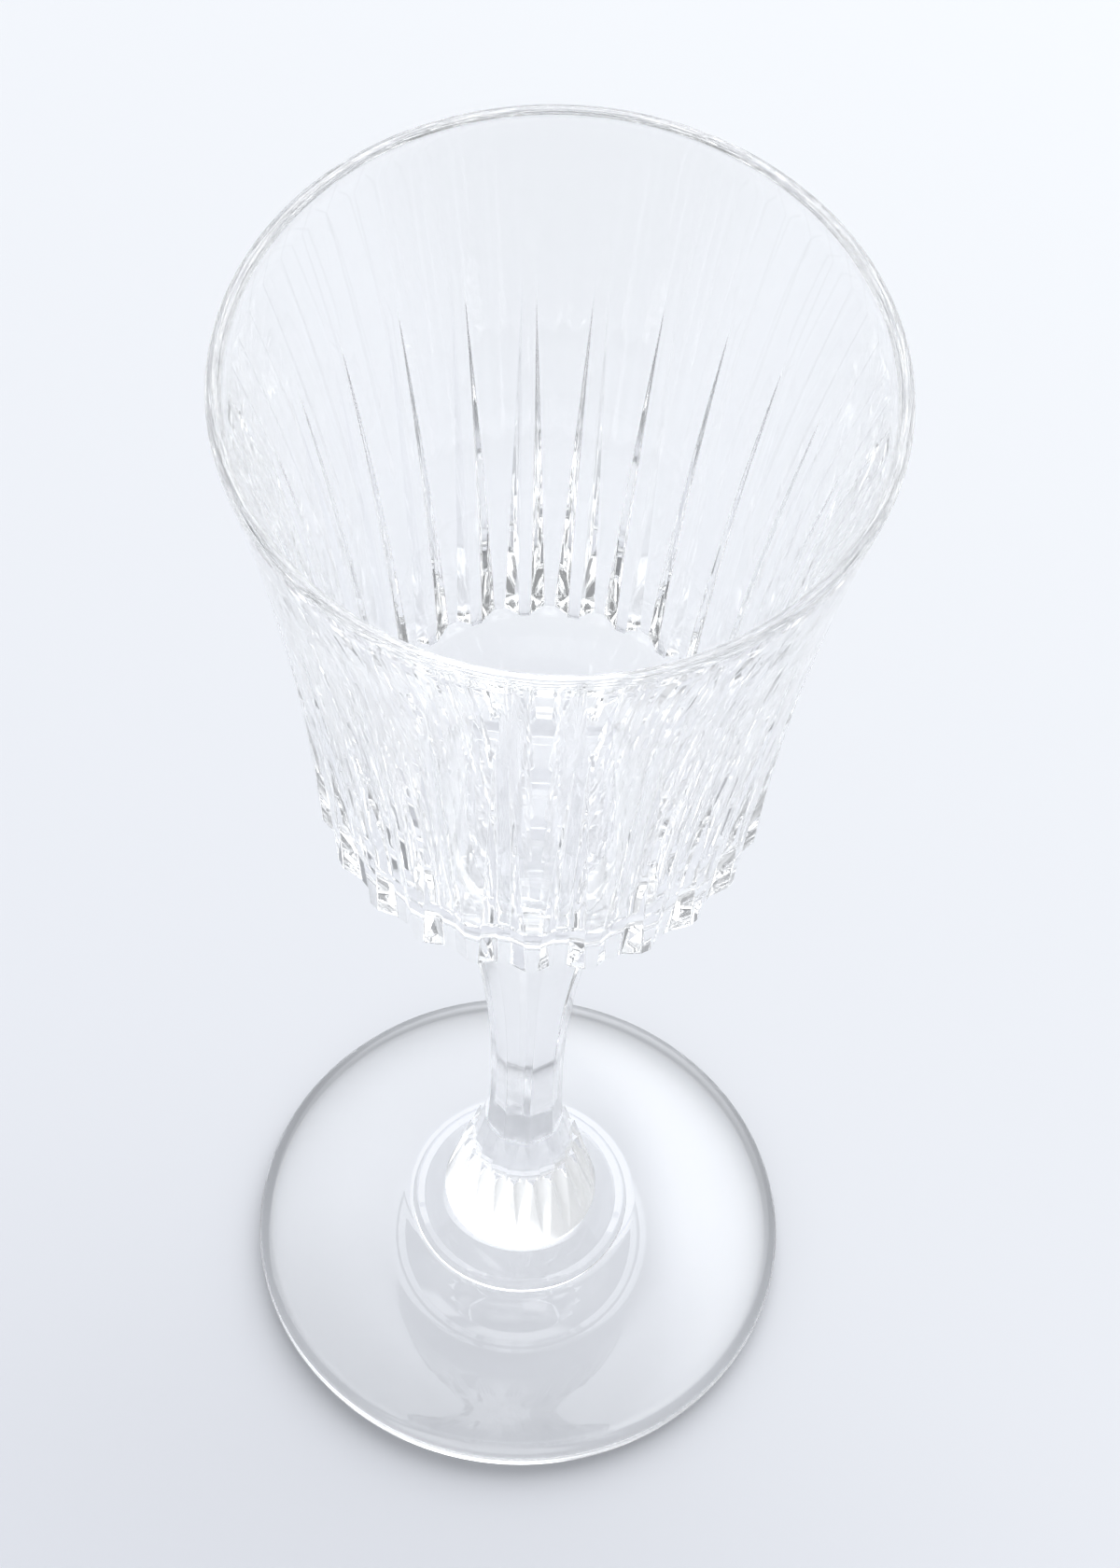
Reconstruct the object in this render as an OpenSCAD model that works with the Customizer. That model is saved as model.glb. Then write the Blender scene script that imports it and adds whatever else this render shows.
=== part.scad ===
// White wine glass of clear pressed glass: fluted bowl, faceted stem, bell knop and round foot.
// Millimetres, Z up. The origin is the centre of the ring face the glass stands on.

/* [Foot] */
// Outer diameter of the foot plate
foot_d = 74; // [68:0.5:80]
// Height of the flat pad in the middle of the foot
foot_h = 11.8; // [10.3:0.1:13.3]
// Thickness of the rounded foot edge
foot_edge_t = 4; // [3.2:0.1:4.8]
// Width of the flat ring under the foot
foot_ring_w = 4; // [3:0.1:6]
// Depth of the hollow inside that ring
foot_hollow = 1.4; // [0.8:0.1:2]
// Radius of the hollow sweep from the foot edge up to the pad
foot_sweep_r = 90; // [70:1:140]

/* [Knop] */
// Height of the knop between the foot and the stem
knop_h = 26.2; // [23.6:0.2:28.8]
// Diameter of the bead where the cushion meets the foot
knop_base_d = 30.2; // [28:0.1:32]
// Radius of that bead
cushion_bead_r = 0.9; // [0.6:0.1:1.2]
// Height of the conical cushion at the middle of each bell facet
cushion_h = 4.7; // [4:0.1:5.4]
// Diameter across the flats where the bell comes down on the cushion
bell_edge_d = 21.2; // [20:0.1:22.4]
// Share of the knop's height at which the bell has its waist
bell_waist_at = 0.69; // [0.65:0.01:0.73]
// Inward lean of the neck above the waist, for each millimetre of height
bell_neck_lean = 0.195; // [0.16:0.005:0.21]
// Number of flat facets around the bell
bell_facets = 18; // [16:1:20]

/* [Stem] */
// Length of the stem between the knop and the bowl
stem_h = 79.8; // [72:0.2:88]
// Diameter across the flats at the thinnest place
stem_waist_d = 9.4; // [8.6:0.1:10.4]
// Height of the thinnest place above the knop
stem_waist_h = 12; // [8:0.5:16]
// Radius of the lengthwise curve of the stem facets
stem_curve_r = 240; // [220:1:280]
// Number of flat facets around the stem
stem_facets = 9; // [8:1:12]

/* [Bowl] */
// Outer diameter at the rim
rim_d = 80; // [74:0.5:86]
// Height of the wall from the base edge to the rim
bowl_h = 85.6; // [79:0.2:93]
// Outer diameter at the sharp base edge
bowl_base_d = 55.8; // [53:0.2:59]
// Radius of the lengthwise curve of the flared wall
bowl_curve_r = 565; // [500:5:640]
// Depth of the cone under the base edge
bowl_under_h = 9; // [7.5:0.1:10.5]
// Wall thickness at the rounded rim
rim_t = 1.9; // [1.6:0.05:2.4]
// Wall thickness low down, at the top of the inside corner
bowl_wall_t = 5.8; // [5:0.1:6.6]
// Height of the inside floor above the weld to the stem
bowl_floor_h = 7; // [5.5:0.1:8.5]
// Radius of the inside corner between wall and floor
bowl_corner_r = 10.4; // [8.4:0.1:12]

/* [Flutes] */
// Number of flutes around the bowl
flute_count = 24; // [20:1:26]
// Length of a flute, up from the base edge
flute_len = 62; // [52:0.5:68]
// Depth of a flute at the base edge
flute_depth = 1.4; // [1.1:0.05:1.6]
// Width of the flat flute bottom
flute_floor_w = 1.6; // [1.2:0.1:1.8]
// Sideways spread of a flute wall for each millimetre of depth
flute_spread = 1.75; // [1.5:0.05:1.9]

/* [Hidden] */
// Segments that stand for a true circle
round_fn = 180;
// Segments for the very large circles of the lengthwise curves
curve_fn = 720;
// Width of the flat land kept around the stem under the bowl
pad_land = 1.2;
// Width of the flat land kept around the cushion on the foot
foot_land = 0.6;
// Depth by which each part of the knop runs on inside the next one
knop_root = 4;
// Extra radius of the round blank from which facets are cut
blank_spare = 1;
// Turn of the bell facets from the X axis
bell_turn = 13;
// Reach of a flute cutter above its own floor
flute_reach = 4;

foot_r = foot_d / 2;
foot_round = foot_edge_t / 2;
foot_pad_r = knop_base_d / 2 + foot_land;
hollow_r = foot_r - foot_round - foot_ring_w;
hollow_ball_r = (hollow_r * hollow_r + foot_hollow * foot_hollow) / (2 * foot_hollow);

knop_z = foot_h;
cushion_base_r = knop_base_d / 2 - cushion_bead_r;
cut_reach = 2 * knop_base_d;
stem_z = knop_z + knop_h;
bowl_z = stem_z + stem_h;
base_z = bowl_z + bowl_under_h;
rim_z = base_z + bowl_h;

stem_waist_r = stem_waist_d / 2;
stem_axis_x = stem_waist_r + stem_curve_r;
stem_foot_r = stem_axis_x - sqrt(pow(stem_curve_r, 2) - pow(stem_waist_h, 2));
stem_head_r = stem_axis_x - sqrt(pow(stem_curve_r, 2) - pow(stem_h - stem_waist_h, 2));
bell_top_r = stem_foot_r / cos(180 / stem_facets);
bell_edge_r = bell_edge_d / 2;
bell_waist_h = bell_waist_at * knop_h;
bell_waist_r = bell_top_r + bell_neck_lean * (knop_h - bell_waist_h);
bell_lean = (bell_edge_r - bell_waist_r) / (bell_waist_h - cushion_h);

base_r = bowl_base_d / 2;
rim_r = rim_d / 2;
rim_round = rim_t / 2;
rim_round_z = rim_z - rim_round;
under_r = stem_head_r / cos(180 / stem_facets) + pad_land;
floor_z = bowl_z + bowl_floor_h;
corner_z = floor_z + bowl_corner_r;

// Centre of the circle of radius r through p and q, on the side away from the axis.
function arc_centre(p, q, r) =
    let (u = (q - p) / norm(q - p), half = norm(q - p) / 2)
    (p + q) / 2 + [u[1], -u[0]] * sqrt(r * r - half * half);

wall_c = arc_centre([base_r, base_z], [rim_r, rim_round_z], bowl_curve_r);

// Outer radius of the bowl wall at height z.
function wall_r(z) = wall_c[0] - sqrt(pow(bowl_curve_r, 2) - pow(z - wall_c[1], 2));

corner_x = wall_r(corner_z) - bowl_wall_t;
inner_c = arc_centre([corner_x, corner_z], [rim_r - rim_t, rim_round_z], bowl_curve_r);
tip_z = base_z + flute_len;
flute_c = arc_centre([base_r - flute_depth, base_z], [wall_r(tip_z), tip_z], bowl_curve_r);
sweep_c = arc_centre([foot_r - foot_round, foot_edge_t], [foot_pad_r, foot_h], foot_sweep_r);

// Foot plate: rounded edge, hollow sweep up to a flat pad, shallow hollow underneath.
module foot() {
    color([0.93, 0.95, 0.97, 0.35])
    difference() {
        rotate_extrude($fn = round_fn) {
            translate([foot_r - foot_round, foot_round])
                circle(r = foot_round, $fn = round_fn);
            difference() {
                polygon([
                    [0, 0],
                    [foot_r - foot_round, 0],
                    [foot_r - foot_round, foot_edge_t],
                    [foot_pad_r, foot_h],
                    [0, foot_h],
                ]);
                translate(sweep_c)
                    circle(r = foot_sweep_r, $fn = curve_fn);
            }
        }
        translate([0, 0, foot_hollow - hollow_ball_r])
            sphere(r = hollow_ball_r, $fn = round_fn);
    }
}

// Frustum with n flat sides from height z0 to z1: radius r at height z, leaning in with height.
module faceted(n, turn, r, z, lean, z0, z1) {
    difference() {
        translate([0, 0, z0])
            cylinder(r = (r + lean * (z - z0)) / cos(180 / n) + blank_spare, h = z1 - z0, $fn = round_fn);
        for (i = [0 : n - 1])
            rotate([0, 0, turn + i * 360 / n])
                translate([r, 0, z])
                    rotate([0, -atan(lean), 0])
                        translate([0, -cut_reach / 2, -cut_reach / 2])
                            cube(cut_reach);
    }
}

// Knop: smooth cone with a bead around its base, then two tiers of flat facets set half a facet apart.
module knop() {
    color([0.93, 0.95, 0.97, 0.35])
    translate([0, 0, knop_z])
    union() {
        cylinder(r1 = cushion_base_r, r2 = bell_edge_r, h = cushion_h, $fn = round_fn);
        rotate_extrude($fn = round_fn)
            intersection() {
                square([knop_base_d, cushion_bead_r]);
                translate([cushion_base_r, 0])
                    circle(r = cushion_bead_r, $fn = round_fn);
            }
        faceted(bell_facets, bell_turn, bell_waist_r, bell_waist_h, bell_lean,
            cushion_h - knop_root, bell_waist_h + knop_root);
        faceted(bell_facets, bell_turn + 180 / bell_facets, bell_waist_r, bell_waist_h, bell_neck_lean,
            bell_waist_h - knop_root, knop_h);
    }
}

// Stem: flat facets that follow one long curve, wide under the bowl and thin above the knop.
module stem() {
    color([0.93, 0.95, 0.97, 0.35])
    translate([0, 0, stem_z])
    difference() {
        cylinder(r = stem_head_r / cos(180 / stem_facets) + pad_land, h = stem_h, $fn = round_fn);
        for (i = [0 : stem_facets - 1])
            rotate([0, 0, (i + 0.5) * 360 / stem_facets])
                translate([stem_axis_x, 0, stem_waist_h])
                    rotate([90, 0, 0])
                        cylinder(r = stem_curve_r, h = cut_reach, center = true, $fn = curve_fn);
    }
}

// Flute cutter: a ring with a flat floor and leaning walls that follows the curve of the wall.
module flute(turn) {
    spread = flute_spread * flute_reach;
    rotate([0, 0, turn])
        translate([flute_c[0], 0, flute_c[1]])
            rotate([90, 0, 0])
                rotate_extrude($fn = curve_fn)
                    polygon([
                        [bowl_curve_r, -flute_floor_w / 2],
                        [bowl_curve_r, flute_floor_w / 2],
                        [bowl_curve_r - flute_reach, flute_floor_w / 2 + spread],
                        [bowl_curve_r - flute_reach, -flute_floor_w / 2 - spread],
                    ]);
}

// Bowl: flared wall with a rounded rim, thick base with a sharp edge, flutes cut in the outside.
module bowl() {
    color([0.93, 0.95, 0.97, 0.35])
    difference() {
        rotate_extrude($fn = round_fn)
            union() {
                difference() {
                    polygon([
                        [0, bowl_z],
                        [under_r, bowl_z],
                        [base_r, base_z],
                        [rim_r, rim_round_z],
                        [0, rim_round_z],
                    ]);
                    translate(wall_c)
                        circle(r = bowl_curve_r, $fn = curve_fn);
                    difference() {
                        polygon([
                            [0, corner_z],
                            [corner_x, corner_z],
                            [rim_r - rim_t, rim_round_z],
                            [0, rim_round_z],
                        ]);
                        translate(inner_c)
                            circle(r = bowl_curve_r, $fn = curve_fn);
                    }
                    translate([0, floor_z])
                        square([corner_x - bowl_corner_r, bowl_corner_r]);
                    translate([corner_x - bowl_corner_r, corner_z])
                        circle(r = bowl_corner_r, $fn = round_fn);
                }
                translate([rim_r - rim_round, rim_round_z])
                    circle(r = rim_round, $fn = round_fn);
            }
        for (i = [0 : flute_count - 1])
            flute((i + 0.5) * 360 / flute_count);
    }
}

foot();
knop();
stem();
bowl();
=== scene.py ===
import math

import bpy
import numpy as np
from mathutils import Matrix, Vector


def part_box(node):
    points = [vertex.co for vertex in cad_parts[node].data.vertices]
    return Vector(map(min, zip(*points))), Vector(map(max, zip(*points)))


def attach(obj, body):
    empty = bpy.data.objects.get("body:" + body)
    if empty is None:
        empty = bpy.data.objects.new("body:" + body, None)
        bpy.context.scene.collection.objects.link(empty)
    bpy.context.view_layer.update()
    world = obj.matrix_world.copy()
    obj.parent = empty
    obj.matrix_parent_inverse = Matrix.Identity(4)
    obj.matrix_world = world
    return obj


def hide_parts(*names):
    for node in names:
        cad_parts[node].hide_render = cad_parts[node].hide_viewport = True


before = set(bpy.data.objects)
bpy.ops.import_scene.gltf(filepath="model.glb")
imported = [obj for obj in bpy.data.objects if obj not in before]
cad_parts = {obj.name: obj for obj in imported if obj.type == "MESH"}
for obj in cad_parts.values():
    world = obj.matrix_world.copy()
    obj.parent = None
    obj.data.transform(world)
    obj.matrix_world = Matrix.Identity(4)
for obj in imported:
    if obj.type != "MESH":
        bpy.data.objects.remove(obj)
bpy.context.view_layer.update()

# Foot
# A round plate of clear pressed glass that the whole glass stands on, fire polished after pressing.
# Its edge is rounded and its top sweeps up to a flat pad, where the knop is welded on while hot.
# The underside is hollowed, so that only an outer ring touches the table.
mm = 0.001
foot_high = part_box("foot")[1]
knop_low, knop_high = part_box("knop")
foot_round = 2.0 * mm
foot_ring_w = 4.0 * mm
foot_hollow = 1.4 * mm
foot_sweep_r = 90.0 * mm
foot_land = 0.6 * mm
foot_pad_r = knop_high.x + foot_land
foot_side_r = foot_high.x - foot_round
foot_ring_r = foot_side_r - foot_ring_w
foot_ball_r = (foot_ring_r**2 + foot_hollow**2) / (2 * foot_hollow)
hollow_rows, edge_rows, sweep_rows = 14, 18, 30
crease_angle = math.radians(38)
column_count = 720
columns = np.linspace(0, 2 * math.pi, column_count, endpoint=False)


class Wire:
    """A socket of a shader tree: arithmetic on it makes Math nodes, and node() makes any other node."""

    def __init__(self, tree, socket=None):
        self.tree = tree
        self.socket = socket

    def node(self, kind, settings=None, sockets=None, output=0):
        """A node of the type kind: its settings first, then the values or links of its sockets."""
        made = self.tree.nodes.new(kind)
        for key, value in (settings or {}).items():
            setattr(made, key, value)
        for key, value in (sockets or {}).items():
            if isinstance(value, Wire):
                self.tree.links.new(value.socket, made.inputs[key])
            else:
                made.inputs[key].default_value = value
        return Wire(self.tree, made.outputs[output] if made.outputs else None)

    def math(self, operation, *values):
        return self.node("ShaderNodeMath", {"operation": operation}, dict(enumerate(values)))

    def ramp(self, low, high, start=0.0, end=1.0, kind="SMOOTHSTEP"):
        """A rise from start to end while this socket goes from low to high, level on both sides."""
        return self.node("ShaderNodeMapRange", {"interpolation_type": kind}, {
            "Value": self, "From Min": low, "From Max": high, "To Min": start, "To Max": end})

    def __add__(self, other):
        return self.math("ADD", self, other)

    def __mul__(self, other):
        return self.math("MULTIPLY", self, other)

    __radd__ = __add__
    __rmul__ = __mul__


def new_tree(block):
    """The emptied shader tree of a material or world, as a wire with no socket yet."""
    block.use_nodes = True
    block.node_tree.nodes.clear()
    return Wire(block.node_tree)


def clear_glass(name, wave, depth, edge_r=None):
    """Clear glass with faint waves on its skin: wave gives the waves per metre along X, Y and Z, and
    depth their height. Light on its way to the table passes straight on where it meets the skin head
    on. It is bent aside at a glancing angle, and where a plate rounds off inside the radius edge_r."""
    head_on, glancing = 0.38, 0.9
    edge_start, edge_end, edge_share = 1.5 * foot_round, 0.5 * foot_round, 0.5
    material = bpy.data.materials.new(name)
    tree = new_tree(material)
    place = tree.node("ShaderNodeTexCoord", output="Object")
    stretched = tree.node(
        "ShaderNodeMapping", {"vector_type": "POINT"}, {"Vector": place, "Scale": wave})
    waves = tree.node("ShaderNodeTexNoise", {}, {"Vector": stretched, "Scale": 1.0, "Detail": 1.0})
    bump = tree.node("ShaderNodeBump", {}, {"Strength": 1.0, "Distance": depth, "Height": waves})
    body = tree.node("ShaderNodeBsdfPrincipled", {}, {
        "Base Color": (0.998, 0.999, 1.0, 1.0),
        "Roughness": waves * 0.01,
        "IOR": 1.52,
        "Transmission Weight": 1.0,
        "Normal": bump,
    })
    shadow = tree.node("ShaderNodeLightPath", output="Is Shadow Ray")
    scattered = tree.node("ShaderNodeLightPath", output="Is Diffuse Ray")
    facing = tree.node("ShaderNodeLayerWeight", {}, {"Blend": 0.5}, output="Facing")
    bent = facing.ramp(head_on, glancing)
    if edge_r:
        flat_place = tree.node(
            "ShaderNodeVectorMath", {"operation": "MULTIPLY"}, {0: place, 1: (1.0, 1.0, 0.0)})
        reach = tree.node(
            "ShaderNodeVectorMath", {"operation": "LENGTH"}, {0: flat_place}, output="Value")
        edge = reach.ramp(edge_r - edge_start, edge_r - edge_end, 0.0, edge_share)
        bent = tree.math("MAXIMUM", bent, edge)
    through = tree.node("ShaderNodeBsdfTransparent", {}, {"Color": (0.996, 0.997, 0.998, 1.0)})
    aside = tree.node("ShaderNodeBsdfTransparent", {}, {"Color": (0.12, 0.125, 0.13, 1.0)})
    past = tree.node("ShaderNodeMixShader", {}, {0: bent, 1: through, 2: aside})
    to_table = tree.math("MAXIMUM", shadow, scattered)
    mixed = tree.node("ShaderNodeMixShader", {}, {0: to_table, 1: body, 2: past})
    tree.node("ShaderNodeOutputMaterial", {}, {"Surface": mixed})
    return material


weld = bpy.data.materials.new("weld")
weld_tree = new_tree(weld)
weld_tree.node("ShaderNodeOutputMaterial", {}, {
    "Surface": weld_tree.node("ShaderNodeBsdfTransparent", {}, {"Color": (1.0, 1.0, 1.0, 1.0)}),
})


def turned(name, turns, radii, heights, ends, welded, material):
    """A closed skin around the Z axis. Row i and column j stand at the angle turns, the distance radii
    and the height heights. The rows run from the axis below to the axis above, so that all faces look
    outwards, and a fan closes each end at the two heights ends. welded tells which fans are welds."""
    turns, radii, heights = np.broadcast_arrays(turns, radii, heights)
    rows, around = radii.shape
    rings = np.stack([radii * np.cos(turns), radii * np.sin(turns), heights], axis=-1).reshape(-1, 3)
    points = np.concatenate([rings, [[0, 0, ends[0]], [0, 0, ends[1]]]])
    here = np.arange(rows * around).reshape(rows, around)
    ahead = np.roll(here, -1, axis=1)
    below = np.stack([np.full(around, rows * around), ahead[0], here[0]], axis=-1)
    bands = np.stack([here[:-1], ahead[:-1], ahead[1:], here[1:]], axis=-1).reshape(-1, 4)
    above = np.stack([here[-1], ahead[-1], np.full(around, rows * around + 1)], axis=-1)
    mesh = bpy.data.meshes.new(name)
    mesh.from_pydata(points.tolist(), [], below.tolist() + bands.tolist() + above.tolist())
    mesh.materials.append(material)
    mesh.materials.append(weld)
    kinds = np.zeros(len(mesh.polygons), dtype=np.int32)
    kinds[:around] = welded[0]
    kinds[-around:] = welded[1]
    mesh.polygons.foreach_set("material_index", kinds)
    mesh.polygons.foreach_set("use_smooth", np.ones(len(mesh.polygons), dtype=bool))
    mesh.set_sharp_from_angle(angle=crease_angle)
    piece = bpy.data.objects.new(name, mesh)
    bpy.context.scene.collection.objects.link(piece)
    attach(piece, "root")
    return piece


def arc_centre(p, q, r):
    """Centre of the circle of radius r through p and q, on the side away from the axis."""
    p, q = np.array(p), np.array(q)
    length = np.linalg.norm(q - p)
    along = (q - p) / length
    return (p + q) / 2 + np.array([along[1], -along[0]]) * math.sqrt(r**2 - length**2 / 4)


def column(*spans):
    """The spans of a profile, one after the other, as one column of rows."""
    return np.concatenate([np.atleast_1d(span) for span in spans])[:, None]


foot_sweep = arc_centre([foot_side_r, 2 * foot_round], [foot_pad_r, foot_high.z], foot_sweep_r)
hollow_r = foot_ring_r * np.linspace(0.08, 1, hollow_rows)
edge_turn = np.linspace(-math.pi / 2, math.pi / 2, edge_rows)
sweep_r = np.linspace(foot_side_r, foot_pad_r, sweep_rows)[1:]
foot_radii = column(
    hollow_r,
    foot_side_r + foot_round * np.cos(edge_turn),
    sweep_r,
    knop_high.x,
)
foot_heights = column(
    foot_hollow - foot_ball_r + np.sqrt(foot_ball_r**2 - hollow_r**2),
    foot_round + foot_round * np.sin(edge_turn),
    foot_sweep[1] - np.sqrt(foot_sweep_r**2 - (sweep_r - foot_sweep[0]) ** 2),
    foot_high.z,
)
foot = turned(
    "foot_skin", columns, foot_radii, foot_heights, (foot_hollow, foot_high.z), (0, 1),
    clear_glass("foot_glass_clear", (90, 90, 90), 0.008 * mm, foot_high.x),
)
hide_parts("foot")

# Knop
# A solid lump of clear glass between foot and stem: a smooth cone with a bead around its base, then a
# bell whose facets are hollowed into petals, and a neck of flat facets set half a petal apart. It is
# pressed in a mould and welded to its neighbours while hot.
stem_low, stem_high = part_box("stem")
cushion_h = 4.7 * mm
cushion_bead = 0.9 * mm
bell_edge_r = 10.6 * mm
bell_waist_h = 18.08 * mm
neck_lean = 0.195
bell_facets = 18
bell_turn = math.radians(13)
petal_r = 1.7 * mm
petal_depth = 0.8 * mm
petal_band = 0.8 * mm
waist_step = 0.05 * mm
bead_rows, bell_rows, neck_rows = 12, 80, 16
knop_h = knop_high.z - knop_low.z
bell_h = bell_waist_h - cushion_h
cushion_base_r = knop_high.x - cushion_bead


def flats(turns, count, turn, reach):
    """Distance from the axis to the nearest of count flat sides whose middles are reach away, the
    first at the angle turn. The power makes the corners slightly round, as on pressed glass."""
    sides = turn + 2 * math.pi * np.arange(count) / count
    facing = np.clip(np.cos(turns[..., None] - sides), 0, None)
    power = 4 * count**2
    return reach * np.sum(facing**power, axis=-1) ** (-1 / power)


# The sides of the stem, which the top of the knop has to meet.
stem_facets = 9
stem_turn = math.pi / stem_facets
stem_waist_r = 4.7 * mm
stem_waist_z = stem_low.z + 12 * mm
stem_curve_r = 240 * mm


def stem_reach(z):
    """Distance from the axis to the middle of a stem facet: a long arc, thinnest at stem_waist_z."""
    return stem_waist_r + stem_curve_r - np.sqrt(stem_curve_r**2 - (z - stem_waist_z) ** 2)


bell_neck_r = float(stem_reach(stem_low.z)) / math.cos(math.pi / stem_facets)
bell_waist_r = bell_neck_r + neck_lean * (knop_h - bell_waist_h)
bell_lean = (bell_edge_r - bell_waist_r - petal_depth) / bell_h
petal_lean = (bell_edge_r - bell_lean * petal_band - bell_waist_r) / (bell_h - petal_band)


def petals(turns, floor):
    """Distance from the axis to the wall of the petals, which are leaning round troughs with their
    bottoms at the distance floor. It is the nearer place where a ray from the axis meets the ellipse
    that a level cut through the trough gives, and the ellipse's middle where the ray misses it."""
    pitch = 2 * math.pi / bell_facets
    aside = (turns - bell_turn + pitch / 2) % pitch - pitch / 2
    upright = 1 / (1 + petal_lean**2)
    centre = floor + petal_r / math.sqrt(upright)
    square = upright * np.cos(aside) ** 2 + np.sin(aside) ** 2
    middle = upright * centre * np.cos(aside)
    root = middle**2 - square * (upright * centre**2 - petal_r**2)
    return np.where(root > 0, (middle - np.sqrt(np.clip(root, 0, None))) / square, centre)


bead_up = cushion_bead * np.sin(np.linspace(0, math.pi / 2, bead_rows))
bell_up = np.linspace(cushion_bead, bell_waist_h, bell_rows)
neck_up = np.linspace(bell_waist_h + waist_step, knop_h, neck_rows)
knop_up = column(bead_up, bell_up[1:], neck_up)
bead = cushion_base_r + np.sqrt(np.clip(cushion_bead**2 - knop_up**2, 0, None))
cushion = cushion_base_r + (bell_edge_r - cushion_base_r) * knop_up / cushion_h
bell = np.minimum(
    bell_edge_r + bell_lean * (cushion_h - knop_up),
    petals(columns, bell_waist_r + petal_lean * (bell_waist_h - knop_up)))
neck = flats(
    columns, bell_facets, bell_turn + math.pi / bell_facets,
    bell_waist_r + neck_lean * (bell_waist_h - knop_up))
knop_radii = np.where(knop_up < cushion_h, cushion, np.maximum(bell, neck))
knop_radii = np.where(knop_up < cushion_bead, np.maximum(knop_radii, bead), knop_radii)
knop_radii[-neck_rows:] = neck[-neck_rows:]
knop_rest = flats(columns, stem_facets, stem_turn, stem_reach(stem_low.z))[None, :]
knop = turned(
    "knop_skin", columns, np.concatenate([knop_radii, knop_rest]),
    knop_low.z + np.concatenate([knop_up, [[knop_h]]]), (knop_low.z, knop_high.z), (1, 1),
    clear_glass("knop_glass_clear", (160, 160, 160), 0.004 * mm),
)
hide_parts("knop")

# Stem
# A solid shaft of clear glass with nine flat sides that follow one long curve, wide under the bowl
# and thin above the knop. It is pressed, and welded to the knop below and to the bowl above.
stem_rows = 72
stem_z = np.linspace(stem_low.z, stem_high.z, stem_rows)[:, None]
stem = turned(
    "stem_skin", columns, flats(columns, stem_facets, stem_turn, stem_reach(stem_z)), stem_z,
    (stem_low.z, stem_high.z), (1, 1), clear_glass("stem_glass_clear", (140, 140, 50), 0.003 * mm),
)
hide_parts("stem")

# Bowl
# A flared cup of clear glass, pressed in one piece with a rounded rim and a thick base. Flutes with
# flat floors are cut in the outside: deep at the sharp base edge, running out to points below the rim.
bowl_low, bowl_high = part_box("bowl")
bowl_curve_r = 565 * mm
base_r = 27.9 * mm
base_rise = 9 * mm
base_z = bowl_low.z + base_rise
under_land = 1.2 * mm
under_r = float(stem_reach(stem_high.z)) / math.cos(math.pi / stem_facets) + under_land
rim_round = 0.95 * mm
rim_z = bowl_high.z - rim_round
floor_rise = 7 * mm
floor_z = bowl_low.z + floor_rise
floor_share = 0.4
corner_r = 10.4 * mm
corner_z = floor_z + corner_r
corner_wall = 5.8 * mm
flute_count = 24
flute_len = 62 * mm
flute_tip_z = base_z + flute_len
flute_depth = 1.4 * mm
flute_floor = 0.8 * mm
flute_spread = 1.75
flute_soft = 0.05 * mm
corner_soft = 0.12 * mm
tip_below, tip_above = 6 * mm, 1 * mm


def wall_through(low, high):
    """The arc of the bowl's lengthwise curve through two points, as a radius for each height."""
    centre = arc_centre(low, high, bowl_curve_r)
    return lambda z: centre[0] - np.sqrt(bowl_curve_r**2 - (z - centre[1]) ** 2)


wall_r = wall_through([base_r, base_z], [bowl_high.x, rim_z])
floor_r = wall_through([base_r - flute_depth, base_z], [wall_r(flute_tip_z), flute_tip_z])
corner_x = float(wall_r(corner_z)) - corner_wall
inner_r = wall_through([corner_x, corner_z], [bowl_high.x - 2 * rim_round, rim_z])

cone_share = np.array([1, 0.6, 0.35, 0.25, 0.2, 0.16, 0.13, 0.1, 0.07, 0.04, 0.015])
cone_z = base_z - (base_z - bowl_low.z) * cone_share
outer_z = np.concatenate([
    np.linspace(base_z, flute_tip_z - tip_below, 46),
    np.linspace(flute_tip_z - tip_below, flute_tip_z + tip_above, 13)[1:],
    np.linspace(flute_tip_z + tip_above, rim_z, 10)[1:],
])
outside_rows = len(cone_z) + len(outer_z)
rim_turn = np.linspace(0, math.pi, 15)[1:-1]
inner_z = np.linspace(rim_z, corner_z, 30)
corner_turn = np.linspace(0, -math.pi / 2, 20)[1:]
bowl_heights = column(
    cone_z, outer_z, rim_z + rim_round * np.sin(rim_turn), inner_z,
    corner_z + corner_r * np.sin(corner_turn), floor_z)
bowl_plain = column(
    under_r + (base_r - under_r) * (cone_z - bowl_low.z) / (base_z - bowl_low.z), wall_r(outer_z),
    bowl_high.x - rim_round + rim_round * np.cos(rim_turn), inner_r(inner_z),
    corner_x - corner_r + corner_r * np.cos(corner_turn), floor_share * (corner_x - corner_r))

# Columns follow the flutes: a fixed number on each floor, wall and land, whatever the flute's width.
# Above the points they spread out evenly, so that the rim and the inside are smooth rings. A flute's
# half width at the wall is half its floor, plus its spread times its depth, less what the round wall
# falls away by. That is the root of a quadratic, mouth.
flute_z = bowl_heights.copy()
flute_z[outside_rows:] = flute_tip_z + tip_above
cut = np.clip(wall_r(flute_z) - floor_r(flute_z), 0, None)
lean = flute_spread / wall_r(flute_z)
mouth = (np.sqrt(1 + 2 * lean * (flute_floor + flute_spread * cut)) - 1) / lean
soft_turn = corner_soft / wall_r(flute_z)
side_turn = np.arctan2(flute_floor, wall_r(flute_z) - cut)
mouth_turn = np.maximum(mouth / wall_r(flute_z), side_turn + 3 * soft_turn)
land_turn = np.full_like(mouth, math.pi / flute_count)
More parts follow.
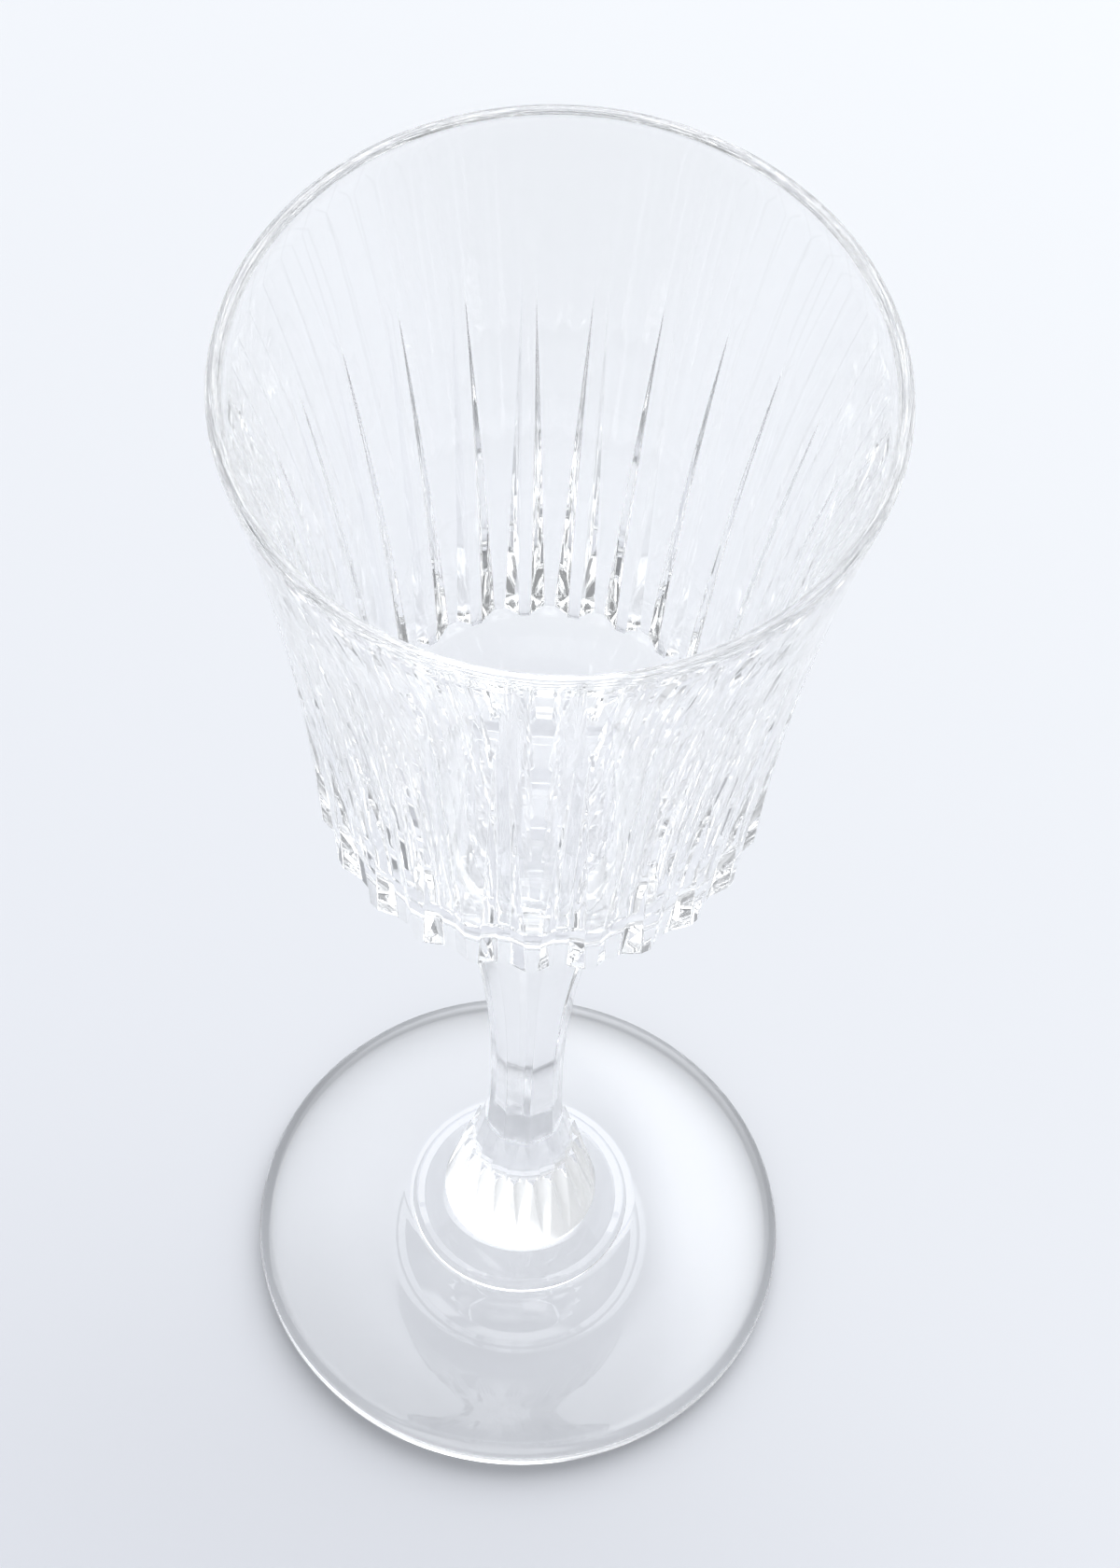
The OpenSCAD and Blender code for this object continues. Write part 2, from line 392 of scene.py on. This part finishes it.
half = np.concatenate([
    0 * side_turn,
    0.5 * side_turn,
    side_turn - soft_turn,
    side_turn,
    side_turn + soft_turn,
    side_turn + soft_turn + (mouth_turn - side_turn - 2 * soft_turn) * np.array([[0.35, 0.7]]),
    mouth_turn - soft_turn,
    mouth_turn - 0.4 * soft_turn,
    mouth_turn + 0.4 * soft_turn,
    mouth_turn + soft_turn,
    mouth_turn + soft_turn + (land_turn - mouth_turn - soft_turn) * np.array([[0.4, 0.75, 1.0]]),
], axis=1)
spread_out = np.clip((bowl_heights - flute_tip_z) / (rim_z - flute_tip_z), 0, 1)
spread_out[outside_rows:] = 1
half += spread_out * (land_turn * np.linspace(0, 1, half.shape[1]) - half)
across = np.concatenate([-half[:, :0:-1], half[:, :-1]], axis=1)[:, None, :]
middles = (2 * math.pi / flute_count * (np.arange(flute_count) + 0.5))[None, :, None]
bowl_turns = (middles + across).reshape(len(across), -1)


def softly(lesser, a, b, width):
    """The lesser or greater of a and b, with the corner between them rounded over the given width."""
    over = np.clip(width - np.abs(a - b), 0, None) ** 2 / (4 * width)
    return np.minimum(a, b) - over if lesser else np.maximum(a, b) + over


bottom = floor_r(flute_z)[:, :, None]
bank = (flute_spread * bottom - flute_floor) / (
    flute_spread * np.cos(across) - np.abs(np.sin(across)))
groove = softly(False, bottom / np.cos(across), bank, flute_soft)
fluted = np.repeat(softly(True, bowl_plain[:, :, None], groove, flute_soft), flute_count, axis=1)
inside = np.arange(len(bowl_heights))[:, None] >= outside_rows
bowl_radii = np.where(inside, bowl_plain, fluted.reshape(len(across), -1))
bowl_rest = flats(bowl_turns[:1], stem_facets, stem_turn, stem_reach(stem_high.z))
bowl = turned(
    "bowl_skin", np.concatenate([bowl_turns[:1], bowl_turns]), np.concatenate([bowl_rest, bowl_radii]),
    np.concatenate([[[bowl_low.z]], bowl_heights]), (bowl_low.z, floor_z), (1, 0),
    clear_glass("bowl_glass_clear", (160, 160, 12), 0.0012 * mm),
)
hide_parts("bowl")

# Table and light
# A plain pale table top with painted light and shade. Its colour falls off to a painted grey shade in
# front of the glass, where the room in front leaves it unlit. It is also painted darker to the near
# left and lighter to the far right, as the window's light falls off across it. The room is grey in
# front and pale behind, with a large soft window high on the right. The table lies a hair below the
# foot, so that light gets under its edge, and the flutes take their dark lines from the grey side.
table_half = 2.0
table_z = -0.05 * mm
# Painted light: the table is painted darker to the near left and lighter to the far right, standing in
# for the window light falling off across it.
near_left_painted_shade, far_right_painted_light = (0.78, 0.79, 0.84, 1.0), (0.93, 0.94, 0.96, 1.0)
# Painted shade: the table front is painted grey where the room in front leaves it unlit.
front_painted_shade = (0.2, 0.203, 0.21, 1.0)
table_mesh = bpy.data.meshes.new("table")
table_mesh.from_pydata(
    [(-table_half, -table_half, table_z), (table_half, -table_half, table_z),
     (table_half, table_half, table_z), (-table_half, table_half, table_z)], [], [(0, 1, 2, 3)])
table = bpy.data.objects.new("table", table_mesh)
bpy.context.scene.collection.objects.link(table)
table_paint = bpy.data.materials.new("table_paint")
table_tree = new_tree(table_paint)
table_place = table_tree.node("ShaderNodeTexCoord", output="Object")
table_grain = table_tree.node("ShaderNodeTexNoise", {}, {"Vector": table_place, "Scale": 900.0})
table_away = table_tree.node(
    "ShaderNodeVectorMath", {"operation": "DOT_PRODUCT"}, {0: table_place, 1: (0.45, 0.9, 0.0)},
    output="Value")
# The painted falloff of the window light across the table, from the near left to the far right.
table_painted_falloff = table_tree.node("ShaderNodeMix", {"data_type": "RGBA"}, {
    0: table_away.ramp(-0.1, 0.25, kind="LINEAR"), 6: near_left_painted_shade, 7: far_right_painted_light}, output=2)
table_depth = table_tree.node("ShaderNodeSeparateXYZ", {}, {"Vector": table_place}, output="Y")
# Painted shade in front of the glass, laid over the painted falloff of the window light.
table_colour = table_tree.node("ShaderNodeMix", {"data_type": "RGBA"}, {
    0: table_depth.ramp(-0.26, -0.05), 6: front_painted_shade, 7: table_painted_falloff}, output=2)
table_tree.node("ShaderNodeOutputMaterial", {}, {
    "Surface": table_tree.node("ShaderNodeBsdfPrincipled", {}, {
        "Base Color": table_colour,
        "Roughness": 0.6 + 0.1 * table_grain,
        "Specular IOR Level": 0.2,
    }),
})
table_mesh.materials.append(table_paint)

world = bpy.data.worlds.new("room")
bpy.context.scene.world = world
room = new_tree(world)
heading = room.node("ShaderNodeTexCoord", output="Generated")
behind = room.node("ShaderNodeSeparateXYZ", {}, {"Vector": heading}, output="Y")
beside = room.node("ShaderNodeSeparateXYZ", {}, {"Vector": heading}, output="X")
backward = behind.ramp(0.05, 0.5)
rightward = beside.ramp(-0.6, 0.4, 0.6, 1.1)
window_side, window_rise = math.radians(20), math.radians(54)
window_outer, window_inner = math.radians(40), math.radians(26)
window_dir = (
    math.cos(window_rise) * math.sin(window_side), math.cos(window_rise) * math.cos(window_side),
    math.sin(window_rise))
towards = room.node(
    "ShaderNodeVectorMath", {"operation": "DOT_PRODUCT"}, {0: heading, 1: window_dir}, output="Value")
window = towards.ramp(math.cos(window_outer), math.cos(window_inner))
front_glow, back_glow, window_glow = 0.3, 0.78, 2.1
glow = front_glow + back_glow * backward * rightward + window_glow * window
room_light = (0.96, 0.98, 1.0, 1.0)
room.node("ShaderNodeOutputWorld", {}, {
    "Surface": room.node("ShaderNodeBackground", {}, {"Color": room_light, "Strength": glow}),
})

# Camera
# A long lens high in front of the glass, looking down into the bowl and leaning a little to one side.
camera_data = bpy.data.cameras.new("camera")
camera_data.sensor_width = 36
camera_data.lens = 133.65
camera = bpy.data.objects.new("camera", camera_data)
camera_place = (0, -0.3756, 0.7496)
yaw, pitch, roll = math.radians(0.37), math.radians(58.96), math.radians(3.21)
ahead_dir = np.array([
    math.sin(yaw) * math.cos(pitch), math.cos(yaw) * math.cos(pitch), -math.sin(pitch)])
level_dir = np.array([math.cos(yaw), -math.sin(yaw), 0])
up_dir = np.cross(level_dir, ahead_dir)
right_dir = math.cos(roll) * level_dir + math.sin(roll) * up_dir
camera_axes = np.stack([right_dir, np.cross(right_dir, ahead_dir), -ahead_dir], axis=1)
camera.matrix_world = Matrix.Translation(camera_place) @ Matrix(camera_axes.tolist()).to_4x4()
bpy.context.scene.collection.objects.link(camera)
bpy.context.scene.camera = camera

scene = bpy.context.scene
scene.view_settings.view_transform = "Standard"
glass_bounces = 64
scene.cycles.max_bounces = glass_bounces
scene.cycles.transmission_bounces = glass_bounces
scene.cycles.glossy_bounces = glass_bounces
scene.cycles.transparent_max_bounces = glass_bounces
